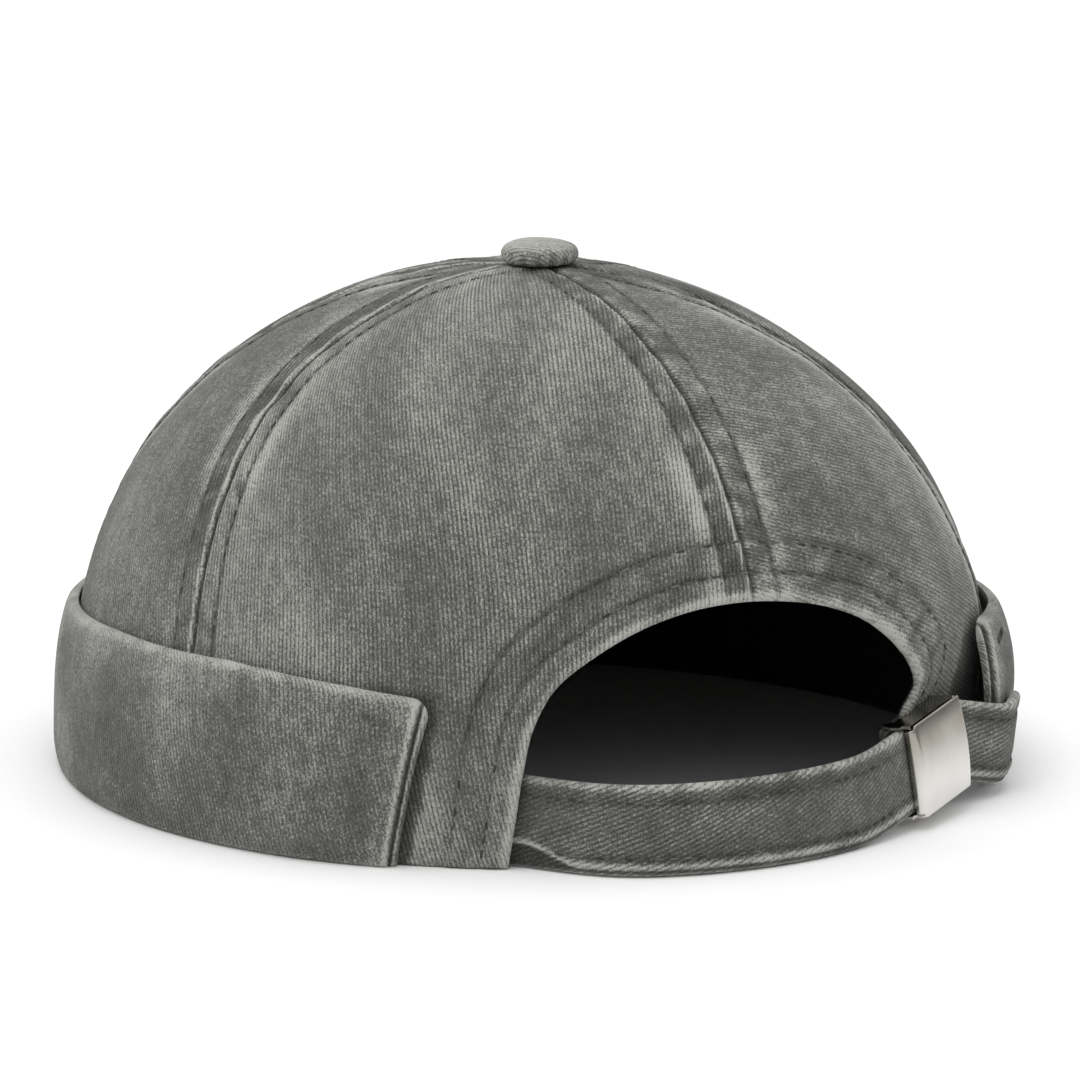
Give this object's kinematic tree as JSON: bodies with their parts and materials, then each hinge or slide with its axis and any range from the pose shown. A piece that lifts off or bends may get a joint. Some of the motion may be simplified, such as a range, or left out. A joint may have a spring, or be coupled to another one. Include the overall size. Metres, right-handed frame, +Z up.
{
  "type": "brimless cap",
  "caption": "Brimless washed-twill cap with sewn panels, a turned-up cuff, an arched back opening, a strap with a lever buckle and a covered top button.",
  "frame": {"origin": "centre of the footprint, on the surface the cap stands on", "axes": "+Z up, -Y the way the wearer looks, +X the wearer's left; the opening and the strap are at +Y"},
  "size_m": [0.1928, 0.209, 0.1104],
  "materials": {
    "twill": "washed grey-green cotton twill, worn light on its edges",
    "nickel": "bright nickel plate"
  },
  "bodies": {
    "cap": {"panel_back_left": "twill", "panel_side_left": "twill", "panel_front_left": "twill", "panel_front_right": "twill", "panel_side_right": "twill", "panel_back_right": "twill", "cuff": "twill", "strap": "twill", "buckle_tab": "twill", "buckle_frame": "nickel", "top_button": "twill"},
    "lever": {"buckle_lever": "nickel"}
  },
  "joints": [
    {"name": "lever_hinge", "type": "hinge", "parent": "cap", "child": "lever", "pos_m": [-0.03779, 0.09156, 0.01225], "axis": [-0.1461, 0.0402, -0.9885], "range_deg": [0, 90]}
  ]
}
